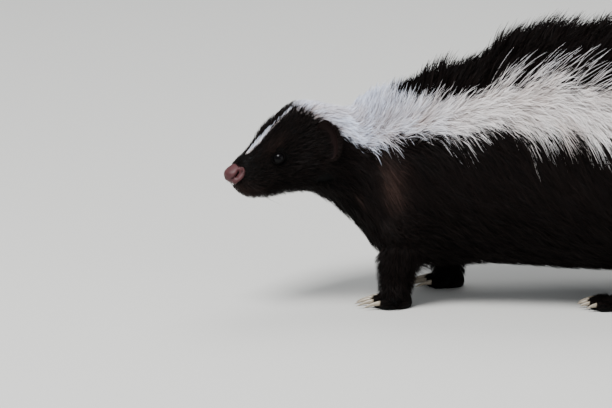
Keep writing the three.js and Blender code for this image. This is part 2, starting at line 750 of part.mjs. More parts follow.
function addTail(rumpHair) {
  const ends = [tailRoot, ...tailJoints, tailCoreEnd];
  let ahead = rumpHair;
  ["tail_base", "tail_middle", "tail_tip"].forEach((name, i) => {
    const length = bodyLength(ends[i] + gap / 2, ends[i + 1] - gap / 2, 12, 4);
    const rows = { ...coat.tail, from: ends[i] + 8, to: ends[i + 1] - (i < 2 ? 8 : 26) };
    const locks = patch(rows, () => -180, () => 180);
    addNode(name, withLocks(length, locks, [ahead]).subtract(ahead), colours.blackCoat);
    ahead = roomOf(locks);
  });
}

addHead();
addTail(addBody());

// The origin is on the floor under the middle of the whole animal.
const box = new THREE.Box3().setFromObject(nodes);
nodes.position.set(-(box.min.x + box.max.x) / 2, -(box.min.y + box.max.y) / 2, 0);

export default nodes;
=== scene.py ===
import math

import bmesh
import bpy
import numpy as np
from mathutils import Matrix, Vector


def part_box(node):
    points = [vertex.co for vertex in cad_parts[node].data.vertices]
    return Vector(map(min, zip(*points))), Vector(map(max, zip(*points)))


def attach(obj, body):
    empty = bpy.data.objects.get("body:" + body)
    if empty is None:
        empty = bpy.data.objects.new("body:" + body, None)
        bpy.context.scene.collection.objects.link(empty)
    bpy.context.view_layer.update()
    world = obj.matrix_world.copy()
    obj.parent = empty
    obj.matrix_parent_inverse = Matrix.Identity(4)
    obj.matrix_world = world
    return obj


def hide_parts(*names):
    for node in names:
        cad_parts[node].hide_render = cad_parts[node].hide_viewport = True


# A striped skunk: skin, coat, face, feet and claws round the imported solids.
# Sizes are in millimetres and distances along the spine are counted back from the tip of the nose.

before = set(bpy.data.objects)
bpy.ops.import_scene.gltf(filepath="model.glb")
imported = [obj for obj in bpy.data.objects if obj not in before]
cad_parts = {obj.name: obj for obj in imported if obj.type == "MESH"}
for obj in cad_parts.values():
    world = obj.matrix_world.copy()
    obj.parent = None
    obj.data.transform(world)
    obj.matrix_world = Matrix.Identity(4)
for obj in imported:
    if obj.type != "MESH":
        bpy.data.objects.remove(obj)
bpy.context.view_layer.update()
scene = bpy.context.scene
print("stage: frame loaded,", len(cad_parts), "nodes")


def through(places, values):
    # smooth curve through rows of numbers that never overshoots them
    p = np.array(places, float)
    v = np.array(values, float)
    gap = np.diff(p)
    slope = np.diff(v) / gap
    tangent = np.zeros_like(v)
    tangent[0], tangent[-1] = slope[0], slope[-1]
    for i in range(1, len(p) - 1):
        if slope[i - 1] * slope[i] > 0:
            a = 2 * gap[i] + gap[i - 1]
            b = gap[i] + 2 * gap[i - 1]
            tangent[i] = (a + b) / (a / slope[i - 1] + b / slope[i])

    def curve(at):
        x = np.clip(at, p[0], p[-1])
        i = np.clip(np.searchsorted(p, x, side="right") - 1, 0, len(p) - 2)
        u = (x - p[i]) / gap[i]
        w = 1 - u
        return ((1 + 2 * u) * w * w * v[i] + u * w * w * gap[i] * tangent[i]
                + u * u * (3 - 2 * u) * v[i + 1] - u * u * w * gap[i] * tangent[i + 1])

    return curve


def columns(rows):
    places = [row[0] for row in rows]
    return [through(places, [row[k] for row in rows]) for k in range(1, len(rows[0]))]


def ease(x):
    x = np.clip(x, 0, 1)
    return x * x * (3 - 2 * x)


def unit(v):
    return v / np.maximum(np.linalg.norm(v, axis=-1, keepdims=True), 1e-9)


def power(value, exponent):
    return np.sign(value) * np.abs(value) ** exponent


def bell(x, middle, wide):
    # a smooth hump, 1 in the middle
    return np.exp(-((x - middle) / wide) ** 2)


def join(*parts):
    # values that belong together, such as X, Y and Z, as the last axis of one array
    return np.stack(np.broadcast_arrays(*parts), axis=-1)


# distance behind the nose: height of the top and underside, half the width, height of the widest place
# as a share, and the depth of the coat above, beside and below
bodySections = [
    (6, 105.5, 92.5, 6.2, 0.5, 0.5, 0.5, 0.5),
    (12, 110.5, 86, 9.6, 0.46, 1, 1, 1),
    (18, 114, 82.4, 12, 0.44, 1.5, 1.5, 1.5),
    (26, 120, 81.2, 15.2, 0.43, 2, 2, 2),
    (34, 127, 81.4, 18.8, 0.43, 2.5, 2.5, 2.5),
    (44, 135, 82.8, 23.4, 0.42, 3, 3, 3),
    (54, 141, 83.2, 26.6, 0.42, 4, 3.5, 3),
    (64, 144, 81.5, 28.4, 0.43, 5, 4, 3.5),
    (76, 142.6, 76, 29.8, 0.46, 6, 4.5, 4),
    (88, 138.5, 69, 31.5, 0.5, 8, 6, 5),
    (99, 136, 59, 35, 0.52, 11, 8, 6),
    (108, 141, 50, 38.5, 0.52, 15, 9, 6),
    (118, 147, 38, 42, 0.52, 18, 10, 7),
    (135, 154, 27, 47, 0.5, 21, 11, 8),
    (160, 166, 25, 52, 0.5, 24, 13, 10),
    (190, 179, 25, 57, 0.48, 28, 14, 10),
    (220, 190, 24, 61, 0.46, 30, 15, 11),
    (250, 196, 22, 65, 0.45, 32, 16, 12),
    (280, 196, 21, 68, 0.44, 32, 17, 12),
    (310, 188, 24, 68, 0.45, 32, 18, 14),
    (335, 174, 34, 63, 0.48, 30, 18, 15),
    (355, 157, 54, 50, 0.5, 27, 18, 16),
    (368, 143, 76, 36, 0.52, 24, 18, 20),
    (380, 137, 84, 29, 0.54, 22, 18, 26),
    (410, 139, 70, 33, 0.58, 24, 23, 36),
    (450, 138, 56, 39, 0.6, 29, 30, 42),
    (490, 130, 44, 43, 0.61, 33, 35, 45),
    (530, 115, 34, 43, 0.61, 34, 36, 42),
    (570, 96, 28, 37, 0.61, 30, 31, 35),
    (600, 80, 28, 28, 0.6, 23, 24, 25),
    (640, 58, 38, 10, 0.5, 9, 9, 9),
]

body = {
    "noseAhead": 122.5, "headTurn": 30, "turnStart": 80, "turnEnd": 130,
    "tailBend": 14, "tailBendStart": 400, "tailBendEnd": 560, "roundness": 2.15,
    "skinLevel": 0.34,  # share of the coat's depth at which the skin lies
}

headForms = [  # place, angle, how far out, and its reach along and round
    (30, 60, -1.7, 8, 17),
    (39, 40, 1.3, 8, 14),
    (56, 102, 2.2, 13, 24),
    (14, 92, 1.3, 5.5, 28),
    (74, 150, -1.5, 10, 30),
]

topAt, underAt, halfAt, widestAt, coatAbove, coatBeside, coatBelow = columns(bodySections)
headAngle = math.radians(body["headTurn"])


def section(at):
    # height of the top, the underside and the widest place
    top, under = topAt(at), underAt(at)
    return top, under, under + widestAt(at) * (top - under)


def heading(at):
    # direction of the spine seen from above
    neck = headAngle * (1 - ease((at - body["turnStart"]) / (body["turnEnd"] - body["turnStart"])))
    tail = math.radians(body["tailBend"]) * ease(
        (at - body["tailBendStart"]) / (body["tailBendEnd"] - body["tailBendStart"]))
    return neck + tail


stations = np.arange(0, 681)
headings = heading(stations[:-1] + 0.5)
planX = -body["noseAhead"] + np.concatenate([[0], np.cumsum(np.cos(headings))])
planY = np.concatenate([[0], np.cumsum(np.sin(headings))])
sideways = planY[body["turnEnd"]]


def headForm(at, turn):
    out = 0
    for place, angle, high, long, wide in headForms:
        out = out + high * np.exp(-((at - place) / long) ** 2 - ((np.abs(turn) - angle) / wide) ** 2)
    return out


def bodyPoint(at, turn, level, lift=0.0, close=1.0):
    # a point of the body, with turn in degrees from the middle of the back, positive to its left
    x = np.interp(at, stations, planX)
    y = np.interp(at, stations, planY) - sideways
    way = heading(at)
    top, under, middle = section(at)
    bare = 1 - level
    extra = lift + headForm(at, turn)
    up = (top - middle - bare * coatAbove(at) + extra) * close
    down = (middle - under - bare * coatBelow(at) + extra) * close
    side = (halfAt(at) - bare * coatBeside(at) + extra) * close
    sine = power(np.sin(np.radians(turn)), 2 / body["roundness"])
    cosine = power(np.cos(np.radians(turn)), 2 / body["roundness"])
    left = side * sine
    z = middle + np.where(cosine > 0, up, down) * cosine
    return join(x + left * np.sin(way), y - left * np.cos(way), z)


nose = {
    "at": 9.0, "height": 99.4, "size": (8.0, 7.6, 7.2), "slant": 2.4,
    "bare": (8.7, 8.0, 7.8),  # no hair grows inside this reach
    "colour": "#532a2c", "dark": "#301c1e",
    # lines of places in the head's frame
    "nostril": ((8.4, 7.2, 103.2), (7.7, 7.4, 101.5), (6.1, 6.8, 99.6), (3.7, 5, 97.6)),
    "wing": ((11, 5.9, 104.2), (11.5, 6.5, 102.4), (10.7, 6.8, 100.2), (8.2, 6.4, 97.8), (5.8, 4.8, 96)),
}
eye = {
    "at": 34, "height": 111.6, "radius": 5, "sunk": 3.1,
    "lidRadius": 4.1, "lidThick": 0.8, "longer": 1.14, "lower": 0.86,
    "bare": 4.6,  # no hair grows inside this reach
    "short": 3.6,  # hair gains its length from here outwards
}


def eyeFrame(side):
    # where an eye looks out: its centre and axes back, up and out, in the design frame
    at = eye["at"]
    top, under, middle = (float(height) for height in section(at))
    cosine = (eye["height"] - middle) / (top - middle)
    turn = side * math.degrees(math.acos(cosine ** (body["roundness"] / 2)))
    surface = bodyPoint(at, turn, 1.0)
    along = bodyPoint(at + 2, turn, 1.0) - bodyPoint(at - 2, turn, 1.0)
    around = bodyPoint(at, turn + 3, 1.0) - bodyPoint(at, turn - 3, 1.0)
    out = unit(np.cross(around, along))
    outwards = np.array([side * math.sin(headAngle), -side * math.cos(headAngle), 0])
    if np.dot(out, outwards) < 0:
        out = -out
    back = unit(along)
    up = np.cross(out, back)
    if up[2] < 0:
        up = -up
    return surface - out * eye["sunk"], back, up, out


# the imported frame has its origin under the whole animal, so the near eye tells how far it was moved
boxLow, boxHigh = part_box("left_eye")
shift = np.array((boxLow + boxHigh) * 500) - eyeFrame(1)[0]


def toFrame(points):
    return (np.asarray(points) + shift) * 0.001


# distance behind the nose and angles from the middle of the back where the white ends
(blazeHalf,) = columns([(17, 3.2), (21, 6.6), (28, 6), (33, 4.4), (36.5, 1.8), (56, 1.3)])
(napeHalf,) = columns([(56, 8), (60, 26), (66, 42), (76, 57), (88, 62), (98, 62), (104, 66), (110, 62),
                       (117, 59), (126, 55)])
stripeUpper, stripeLower = columns([
    (126, 4, 54), (132, 16, 56), (139, 24, 57), (153, 35, 61), (170, 41, 64), (186, 39.5, 62.5),
    (196, 41, 60.5), (206, 44, 65), (222, 44.5, 66), (240, 46, 66), (257, 48, 66.5), (271, 49, 69),
    (300, 51, 71), (335, 55, 77), (374, 61, 86), (470, 67, 94),
])
marks = {
    "blaze": 17, "nape": 56,
    "sparse": 36,  # from here the blaze thins out
    "split": 126,  # where the nape's white parts in two stripes
    "tail": 376, "thinning": 120,  # from here and over this length the stripes thin out
}


def whiteAt(at, turn, rough):
    # 1 where the coat is white; rough holds three rows of draws that make the edges ragged
    place = at + 2.5 * rough[0]
    angle = np.abs(turn) + 3.0 * rough[1]
    nape = (place > marks["nape"]) & (place < marks["split"]) & (angle < napeHalf(place))
    split = (place >= marks["split"]) & (angle > stripeUpper(place)) & (angle < stripeLower(place))
    split &= (at < marks["tail"]) | (np.abs(rough[0]) > (at - marks["tail"]) / marks["thinning"])
    blaze = (at > marks["blaze"]) & (at < marks["nape"])
    blaze &= np.abs(turn) + 0.6 * rough[1] < blazeHalf(at)
    blaze &= (at < marks["sparse"]) | (rough[2] > -0.2)
    return (nape | split | blaze).astype(float)


def brownAt(at, turn):
    # how far black hair turns reddish brown: on the shoulder, round the eye, on the chin and throat
    angle = np.abs(turn)
    shoulder = 0.8 * bell(at, 119, 8) * bell(angle, 84, 15)
    face = 0.2 * bell(at, 31, 6) * bell(angle, 44, 14)
    chin = 0.5 * bell(at, 14, 10) * bell(angle, 150, 40)
    throat = 0.6 * bell(at, 91, 2.5) * bell(angle, 126, 4)
    return shoulder + face + chin + throat


legs = {  # level sections: height, place along X and Y, half the length and half the width
    "left_fore": {
        "fore": True, "side": -1,
        "rows": [(92, 14, -27, 24, 13), (70, 11, -31, 21, 15), (52, 6, -32, 17, 13.5),
                 (34, 0, -31, 13, 11.5), (20, -3, -30, 11, 10.5), (4, -4, -30, 11, 10.5)],
        "paw": {"front": -17, "back": 9, "half": 12.5, "top": 15, "y": -30},
    },
    "right_fore": {
        "fore": True, "side": 1,
        "rows": [(92, 14, 27, 24, 13), (70, 16, 31, 21, 15), (52, 22, 31, 17, 13.5),
                 (34, 30, 29.5, 13, 11.5), (20, 34, 28.5, 11, 10.5), (4, 35, 28, 11, 10.5)],
        "paw": {"front": 21, "back": 47, "half": 12.5, "top": 15, "y": 28},
    },
    "left_hind": {
        "fore": False, "side": -1,
        "rows": [(96, 186, -38, 36, 21), (80, 181, -40, 39, 22.5), (64, 174, -40, 35, 21),
                 (44, 170, -38, 24, 16), (28, 178, -36, 15, 12), (16, 183, -35, 11.5, 10.5),
                 (4, 183, -35, 11, 10.5)],
        "paw": {"front": 134, "back": 194, "half": 12.5, "top": 13, "y": -35},
    },
    "right_hind": {
        "fore": False, "side": 1,
        "rows": [(96, 190, 38, 36, 21), (80, 188, 40, 39, 22.5), (64, 188, 40, 34, 20),
                 (44, 194, 37, 24, 16), (28, 206, 34, 15, 12), (16, 213, 33, 11.5, 10.5),
                 (4, 213, 33, 11, 10.5)],
        "paw": {"front": 163, "back": 224, "half": 12.5, "top": 13, "y": 33},
    },
}
toes = {
    "spread": (-0.8, -0.42, 0, 0.42, 0.8),  # share of the paw's half width
    "back": (5, 1.4, 0, 1.4, 6),  # behind the foremost
    "half": 2.75, "tall": 4.4, "high": 3.2,
    "long": (7, 6.5),  # hind and fore
}
padForm = {
    "square": 0.85,  # exponent that squares the ball off
    "toeHeight": 0.62,  # height at the toes, as a share of the heel's
    "narrow": 0.16, "under": 4.0, "edge": 2.6,
}
for leg in legs.values():
    leg["curves"] = columns(sorted(leg["rows"]))
legCoat = through([4, 16, 30, 50, 75, 96], [1.5, 2.2, 3.5, 5, 7, 8])  # depth of the coat by height


def limbPoint(leg, z, angle, inset, close=1.0):
    x, y, long, wide = (curve(z) for curve in leg["curves"])
    x = x + np.cos(angle) * (long - inset) * close
    return join(x, y + np.sin(angle) * (wide - inset) * close, z)


def padPoint(paw, v, inset=0.0):
    # the pad of a paw, from a point on the unit ball
    along = power(v[..., 1], padForm["square"])
    rear = ease((along + 1) / 2)
    high = paw["top"] * (padForm["toeHeight"] + (1 - padForm["toeHeight"]) * rear) - inset
    narrow = 1 - padForm["narrow"] * rear
    middle = (paw["front"] + paw["back"]) / 2
    x = middle + along * ((paw["back"] - paw["front"]) / 2 - inset)
    y = paw["y"] + power(v[..., 0], padForm["square"]) * (paw["half"] * narrow - inset)
    z = np.where(v[..., 2] > 0, high, padForm["under"]) * power(v[..., 2], padForm["square"])
    return join(x, y, z + padForm["edge"] * (1 - np.abs(v[..., 2])))


def toeCentre(leg, index):
    paw = leg["paw"]
    return np.array([paw["front"] + toes["back"][index] + 2.2,
                     paw["y"] + leg["side"] * toes["spread"][index] * paw["half"], toes["high"]])


def linear(hexColour):
    # sRGB hex to the linear values that the shader reads
    out = []
    for k in (1, 3, 5):
        c = int(hexColour[k:k + 2], 16) / 255
        out.append(c / 12.92 if c <= 0.04045 else ((c + 0.055) / 1.055) ** 2.4)
    return (*out, 1.0)


def addNode(material, kind, settings=None, links=None):
    # one node with its settings, and links from (node, output) to its inputs
    tree = material.node_tree
    node = tree.nodes.new(kind)
    for key, value in (settings or {}).items():
        if key in node.inputs:
            node.inputs[key].default_value = value
        else:
            setattr(node, key, value)
    for key, (source, output) in (links or {}).items():
        tree.links.new(source.outputs[output], node.inputs[key])
    return node


def newMaterial(name):
    material = bpy.data.materials.new(name)
    material.use_nodes = True
    material.node_tree.nodes.clear()
    return material


def finishMaterial(material, settings, links=None):
    shader = addNode(material, "ShaderNodeBsdfPrincipled", settings, links)
    addNode(material, "ShaderNodeOutputMaterial", links={"Surface": (shader, "BSDF")})
    return material


def plainMaterial(name, colour, roughness, specular=0.5):
    return finishMaterial(newMaterial(name), {"Base Color": linear(colour), "Roughness": roughness,
                                              "Specular IOR Level": specular})


def mixColours(material, factor, a, b):
    # a blend of two colours, each given as hex or as the output of a node
    settings, links = {"data_type": "RGBA"}, {"Factor": factor}
    for key, colour in (("A", a), ("B", b)):
        if isinstance(colour, str):
            settings[key] = linear(colour)
        else:
            links[key] = colour
    return addNode(material, "ShaderNodeMix", settings, links), "Result"


def addObject(name, data):
    made = bpy.data.objects.new(name, data)
    scene.collection.objects.link(made)
    return made


def objectFrom(bm, name, material, closed=True):
    # a piece from a bmesh; a closed one is turned right side out and shaded smooth
    mesh = bpy.data.meshes.new(name)
    if closed:
        bmesh.ops.recalc_face_normals(bm, faces=bm.faces)
    bm.to_mesh(mesh)
    bm.free()
    mesh.materials.append(material)
    if closed:
        mesh.shade_smooth()
    return addObject(name, mesh)


def mapVerts(verts, place):
    # moves all vertices at once to where place sends their positions
    verts = list(verts)
    old = np.array([v.co for v in verts])
    new = toFrame(place(old))
    for vert, co in zip(verts, new):
        vert.co = co


def addBall(bm, around, along, place):
    # a ball whose vertices go where place sends those of the unit ball
    made = bmesh.ops.create_uvsphere(bm, u_segments=around, v_segments=along, radius=1)["verts"]
    mapVerts(made, place)


def fill(items, key, values, kind=np.float32):
    items.foreach_set(key, np.asarray(values, kind).ravel())


def setTone(mesh, tone):
    fill(mesh.attributes.new("tone", "FLOAT_COLOR", "POINT").data, "color", tone)


coatFinish = {
    "blackRoot": "#040404",
    "blackTip": "#080707",
    "brownTip": "#55413b",
    # painted shade: the tan at the roots of the white stands for the shade deep in the coat
    "whiteRootPaintedShade": "#bdaba2",
    "warmTip": "#f6f3f3",
    # painted skylight: blue-white on the white of the nape, where it lies in shade lit by the sky
    "paintedSkyTip": "#e2ecff",
    "shade": {"To Min": 0.8, "To Max": 1.1},  # from the darkest hair to the lightest
    "gloss": {"Roughness": 0.55, "Specular IOR Level": 0.05},
}


def coatMaterial(name):
    # guard hair of a grown skunk: keratin strands, black with a faint brown cast and white, nearly matt;
    # the white's tan root colour is painted shade deep in the coat, and its blue tint is painted
    # skylight. A hair's tone holds: white or black, root to tip, shade, and brown cast or painted
    # skylight tint
    material = newMaterial(name)
    tone = addNode(material, "ShaderNodeAttribute", {"attribute_name": "tone"})
    parts = addNode(material, "ShaderNodeSeparateColor", links={"Color": (tone, "Color")})
    alpha, toTip = (tone, "Alpha"), (parts, "Green")
    black = mixColours(material, toTip, coatFinish["blackRoot"], coatFinish["blackTip"])
    brown = mixColours(material, alpha, black, coatFinish["brownTip"])
    tips = mixColours(material, alpha, coatFinish["warmTip"], coatFinish["paintedSkyTip"])
    white = mixColours(material, toTip, coatFinish["whiteRootPaintedShade"], tips)
    both = mixColours(material, (parts, "Red"), brown, white)
    shade = addNode(material, "ShaderNodeMapRange", coatFinish["shade"], {"Value": (parts, "Blue")})
    final = addNode(material, "ShaderNodeHueSaturation", {}, {"Value": (shade, "Result"), "Color": both})
    return finishMaterial(material, coatFinish["gloss"], {"Base Color": (final, "Color")})


view = {"lookAt": (-65.8, 0, 66.1), "elevation": 14, "away": 4200, "span": 428.4}

cameraData = bpy.data.cameras.new("camera")
camera = addObject("camera", cameraData)
target = Vector(toFrame(view["lookAt"]))
tilt = math.radians(view["elevation"])
away = view["away"] * 0.001
camera.location = target + Vector((0, -math.cos(tilt), math.sin(tilt))) * away
camera.rotation_euler = (math.radians(90) - tilt, 0, 0)
cameraData.sensor_width = 36
cameraData.lens = 36 * view["away"] / view["span"]
scene.camera = camera

floorData = bmesh.new()
bmesh.ops.create_grid(floorData, x_segments=1, y_segments=1, size=12)
floorMaterial = plainMaterial("matt painted studio floor", "#cbcac6", 0.9)  # even and pale, no gloss
floor = objectFrom(floorData, "floor", floorMaterial, False)

lamps = {  # place, size and power of each soft lamp, aimed at the animal
    "key": {"place": (-0.9, -1.0, 2.1), "size": 0.9, "power": 98},
    "fill": {"place": (1.3, -1.6, 0.8), "size": 1.6, "power": 12},
    "rim": {"place": (0.2, 1.0, 2.0), "size": 1.2, "power": 18},
}
for name, lamp in lamps.items():
    lampData = bpy.data.lights.new(name, "AREA")
    lampData.energy = lamp["power"]
    lampData.size = lamp["size"]
    light = addObject(name, lampData)
    light.location = lamp["place"]
    aim = Vector((0, 0, 0.1)) - light.location
    light.rotation_euler = aim.to_track_quat("-Z", "Y").to_euler()

world = bpy.data.worlds.new("studio")
world.use_nodes = True
world.node_tree.nodes["Background"].inputs[0].default_value = linear("#e6ecf2")
world.node_tree.nodes["Background"].inputs[1].default_value = 0.6
scene.world = world
print("stage: camera, floor and light")

skin = {"around": 72, "along": 300, "first": 5, "last": 618, "remesh": 1.6, "mouthDeep": 1.3,
        "mouthWide": 1.0, "clear": 0.0002}  # metres off the floor
(mouthHeight,) = columns([(8.5, 89.4), (14, 88.2), (22, 88.4), (29, 89.8), (34, 91.6)])
# spine distance along the mesh
skinPlaces = through([0, 0.04, 0.4, 0.76, 1], [skin["first"], 14, 92, 372, skin["last"]])


def skinMap(old):
    at = skinPlaces(np.arccos(np.clip(old[:, 2], -1, 1)) / math.pi)
    turn = np.degrees(np.arctan2(old[:, 0], old[:, 1]))
    skin["white"] = whiteAt(at, turn, np.zeros((3, len(at))))
    nearNose = np.clip((at - skin["first"]) / 10, 0, 1)
    nearTail = np.clip((skin["last"] - at) / 14, 0, 1)
    close = np.sqrt(1 - (1 - nearNose) ** 2) * np.sqrt(1 - (1 - nearTail) ** 2)
    points = bodyPoint(at, turn, body["skinLevel"], 0.0, close)
    off = points[:, 2] - mouthHeight(at)
    lips = (at > 8) * bell(off, 0, skin["mouthWide"]) * ease((36 - at) / 3) * (np.abs(turn) > 60)
    sunk = bodyPoint(at, turn, body["skinLevel"], -skin["mouthDeep"], close)
    return points + (sunk - points) * lips[:, None]


def bodySkin():
    bm = bmesh.new()
    addBall(bm, skin["around"], skin["along"], skinMap)
    marking = bm.verts.layers.float.new("white")
    for vert, value in zip(bm.verts, skin["white"]):
        vert[marking] = value
    return bm


def legSkin():
    bm = bmesh.new()
    for leg in legs.values():
        high, low = leg["rows"][0][0], 3.0

        def shank(old):
            z = low + (old[:, 2] * 0.5 + 0.5) * (high - low)
            ends = np.minimum((z - low) / 3, (high - z) / 10).clip(0, 1)
            close = np.sqrt(1 - (1 - ends) ** 2)
            return limbPoint(leg, z, np.arctan2(old[:, 1], old[:, 0]), legCoat(z), close)

        addBall(bm, 32, 40, shank)
        addBall(bm, 28, 20, lambda old: padPoint(leg["paw"], old, 0.8))
        size = np.array([toes["long"][leg["fore"]], toes["half"], toes["tall"]]) - 0.3
        for index in range(5):
            addBall(bm, 14, 10, lambda old: toeCentre(leg, index) + old * size)
    return bm


def remeshed(piece, size):
    # the piece's surface wrapped anew in even faces, as one skin
    modifier = piece.modifiers.new("remesh", "REMESH")
    modifier.mode = "VOXEL"
    modifier.voxel_size = size * 0.001
    graph = bpy.context.evaluated_depsgraph_get()
    return bpy.data.meshes.new_from_object(piece.evaluated_get(graph))


skinMaterial = coatMaterial("skin under the coat")
legPiece = objectFrom(legSkin(), "leg_skin", skinMaterial, False)
legData = remeshed(legPiece, skin["remesh"])
skinMesh = bodySkin()
legMesh = bmesh.new()
legMesh.from_mesh(legData)
bmesh.ops.smooth_vert(legMesh, verts=legMesh.verts, factor=0.5, use_axis_x=True, use_axis_y=True,
                      use_axis_z=True)
for vert in legMesh.verts:
    vert.co.z = max(vert.co.z, skin["clear"])
legMesh.to_mesh(legData)
legMesh.free()
skinMesh.from_mesh(legData)
bpy.data.objects.remove(legPiece)
skinPiece = objectFrom(skinMesh, "skin", skinMaterial)
print("stage: skin")


# distance behind the nose: how far a hair runs along the body on the back, the side and the belly, its
# width, hairs for each square mm, how far tips draw together, and the size of the bunches they form
coatRows = [
    (5, 1.4, 1.4, 1.4, 0.26, 2.9, 0.1, 1.5),
    (18, 2.2, 2.4, 2.2, 0.28, 2.8, 0.15, 1.8),
    (34, 3, 3.4, 3, 0.3, 2.6, 0.2, 2.2),
    (50, 4.2, 5, 4.2, 0.32, 2.3, 0.25, 2.6),
    (62, 6, 7, 5.5, 0.34, 2.1, 0.3, 3),
    (80, 10, 10, 7.5, 0.38, 1.9, 0.4, 3.6),
    (98, 10, 14, 9, 0.4, 1.7, 0.42, 4),
    (110, 4.5, 15, 10, 0.4, 1.65, 0.36, 3.8),
    (125, 5, 16, 11, 0.42, 1.5, 0.36, 3.8),
    (150, 7, 18, 15, 0.44, 1.4, 0.36, 4),
    (172, 9, 19, 17, 0.45, 1.32, 0.38, 4.2),
    (190, 13, 20, 18, 0.46, 1.3, 0.4, 4.6),
    (250, 17, 23, 22, 0.48, 1.25, 0.42, 5.2),
    (340, 22, 29, 24, 0.5, 1.2, 0.48, 6),
    (376, 30, 36, 40, 0.54, 1.2, 0.55, 7),
    (430, 44, 46, 50, 0.56, 1.15, 0.6, 8),
    (560, 46, 46, 46, 0.56, 1.1, 0.6, 8),
    (612, 26, 26, 26, 0.5, 1.1, 0.5, 6),
]
longAbove, longBeside, longBelow, hairWide, hairDense, hairPull, bunchSize = columns(coatRows)
coat = {
    "stations": (0.0, 0.32, 0.66, 1.0),
    "short": (0.0, 0.5, 1.0),  # stations of the short hair of the face, legs and feet
    "lying": through([0, 0.32, 0.66, 1], [0, 0.58, 0.87, 1]),
    "standing": through([0, 0.32, 0.66, 1], [0, 0.42, 0.78, 1]),
    "taper": (0.9, 1.0, 0.7),
    "shortTaper": (1.0, 0.75),
    "most": 38000,  # hairs in one piece
    "clear": 0.0003,  # metres off the floor
    "undercoat": 0.35,  # share of the hairs that stay short
    "unwrap": 0.0015,  # half the size of a hair's patch on the unwrap
    "end": 626,  # where the tips of the tail stop
    "faceEnd": 82,  # where the short hair of the face ends
}
ridgeRows = [  # how high the tips stand on the back, as a share of the coat's depth
    (40, 1), (47, 1.1), (53, 1.4), (58, 1.35), (64, 1.25), (77, 1.12), (90, 1), (100, 0.74), (105, 1.06),
    (112, 1.1), (130, 1.06), (140, 0.9), (150, 0.93), (161, 0.8), (170, 0.66), (178, 0.64), (188, 0.74),
    (197, 1.06), (215, 1.02), (233, 1.08), (251, 0.97), (270, 1.09), (284, 0.94), (330, 0.97),
]
(ridgeReach,) = columns(ridgeRows)
draws = np.random.default_rng(7)


def swing(*size):
    return draws.uniform(-1, 1, size)


def cellDraw(i, j, salt):
    # an even draw between -1 and 1 that is the same for every hair of one bunch
    mixed = (i.astype(np.int64) * 73856093) ^ (j.astype(np.int64) * 19349663) ^ (salt * 83492791)
    mixed = (mixed ^ (mixed >> 13)) * 1274126177
    return ((mixed ^ (mixed >> 16)) & 0xFFFF) / 32767.5 - 1


furMaterial = coatMaterial("guard hair")


def strandPieces(name, centres, outward, width, tone, root, taper):
    # joined thin blades, one for each hair: centres is hairs x stations x 3, in mm before the shift
    centres = toFrame(centres)
    count, steps = centres.shape[:2]
    tangent = np.gradient(centres, axis=1)
    side = unit(np.cross(tangent, outward[:, None]))
    upright = unit(np.cross(side, tangent))
    roll = draws.uniform(-0.9, 0.9, (count, 1, 1))
    side = side * np.cos(roll) + upright * np.sin(roll)
    half = 0.0005 * width[:, None, None] * np.array(taper)[:, None]
    left = centres[:, :-1] - side[:, :-1] * half
    right = centres[:, :-1] + side[:, :-1] * half
    pairs = np.stack([left, right], axis=2).reshape(count, 2 * (steps - 1), 3)
    verts = np.concatenate([pairs, centres[:, -1:]], axis=1)
    verts[..., 2] = np.maximum(verts[..., 2], coat["clear"])
    each = verts.shape[1]
    quads = [(2 * k, 2 * k + 1, 2 * k + 3, 2 * k + 2) for k in range(steps - 2)]
    corners = np.array([c for quad in quads for c in quad] + [each - 3, each - 2, each - 1])
    sizes = np.array([4] * len(quads) + [3])
    along = np.concatenate([np.repeat(np.linspace(0, 1, steps)[:-1], 2), [1.0]]) ** 0.6
    across = np.concatenate([np.tile([-1.0, 1.0], steps - 1), [0.0]])
    for part, first in enumerate(range(0, count, coat["most"])):
        chosen = slice(first, first + coat["most"])
        hairs = len(verts[chosen])
        loops = (np.arange(hairs)[:, None] * each + corners).ravel()
        mesh = bpy.data.meshes.new(f"{name}_{part + 1}")
        mesh.vertices.add(hairs * each)
        fill(mesh.vertices, "co", verts[chosen])
        mesh.loops.add(len(loops))
        fill(mesh.loops, "vertex_index", loops, np.int32)
        starts = np.concatenate([[0], np.cumsum(np.tile(sizes, hairs))[:-1]])
        mesh.polygons.add(len(starts))
        fill(mesh.polygons, "loop_start", starts, np.int32)
        mesh.update(calc_edges=True)
        mesh.validate()
        mesh.shade_smooth()
        colour = np.repeat(tone[chosen][:, None], each, axis=1)
        # from root to tip; the tan root colour of the white is painted shade deep in the coat
        colour[..., 1] *= along
        setTone(mesh, colour)
        spot = np.repeat(root[chosen][:, None], each, axis=1)
        spot[..., 0] += coat["unwrap"] * across
        spot[..., 1] += coat["unwrap"] * (2 * along - 1)
        fill(mesh.uv_layers.new(name="OFBake").data, "uv", spot.reshape(-1, 2)[loops])
        mesh.materials.append(furMaterial)
        piece = addObject(mesh.name, mesh)
        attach(piece, "root")


def bodyUnwrap(at, turn):
    # the unwrap follows the skin's own shape: the spine and the turn round it above, the legs below
    return join(0.01 + 0.98 * at / 660, 0.42 + 0.56 * (turn + 180) / 360)


def legUnwrap(order, z, angle):
    u = 0.01 + 0.245 * order + 0.22 * (angle % (2 * math.pi)) / (2 * math.pi)
    return join(u, 0.02 + 0.36 * z / 120)


wisps = {  # long loose hairs of the stripes that lie over the black of the back
    "count": 170, "from": (188, 290), "long": (22, 42), "rise": (6, 22), "reach": (0.95, 1.14),
    "wide": 0.32, "steps": (0, 0.2, 0.4, 0.6, 0.75, 0.9, 1), "taper": (1, 1, 0.9, 0.8, 0.7, 0.5),
}


def standing(at, turn):
    # 1 where the coat stands up: the ruff and the ridge of the back
    return ease((at - 102) / 14) * ease((62 - np.abs(turn)) / 34) * ease((376 - at) / 60)


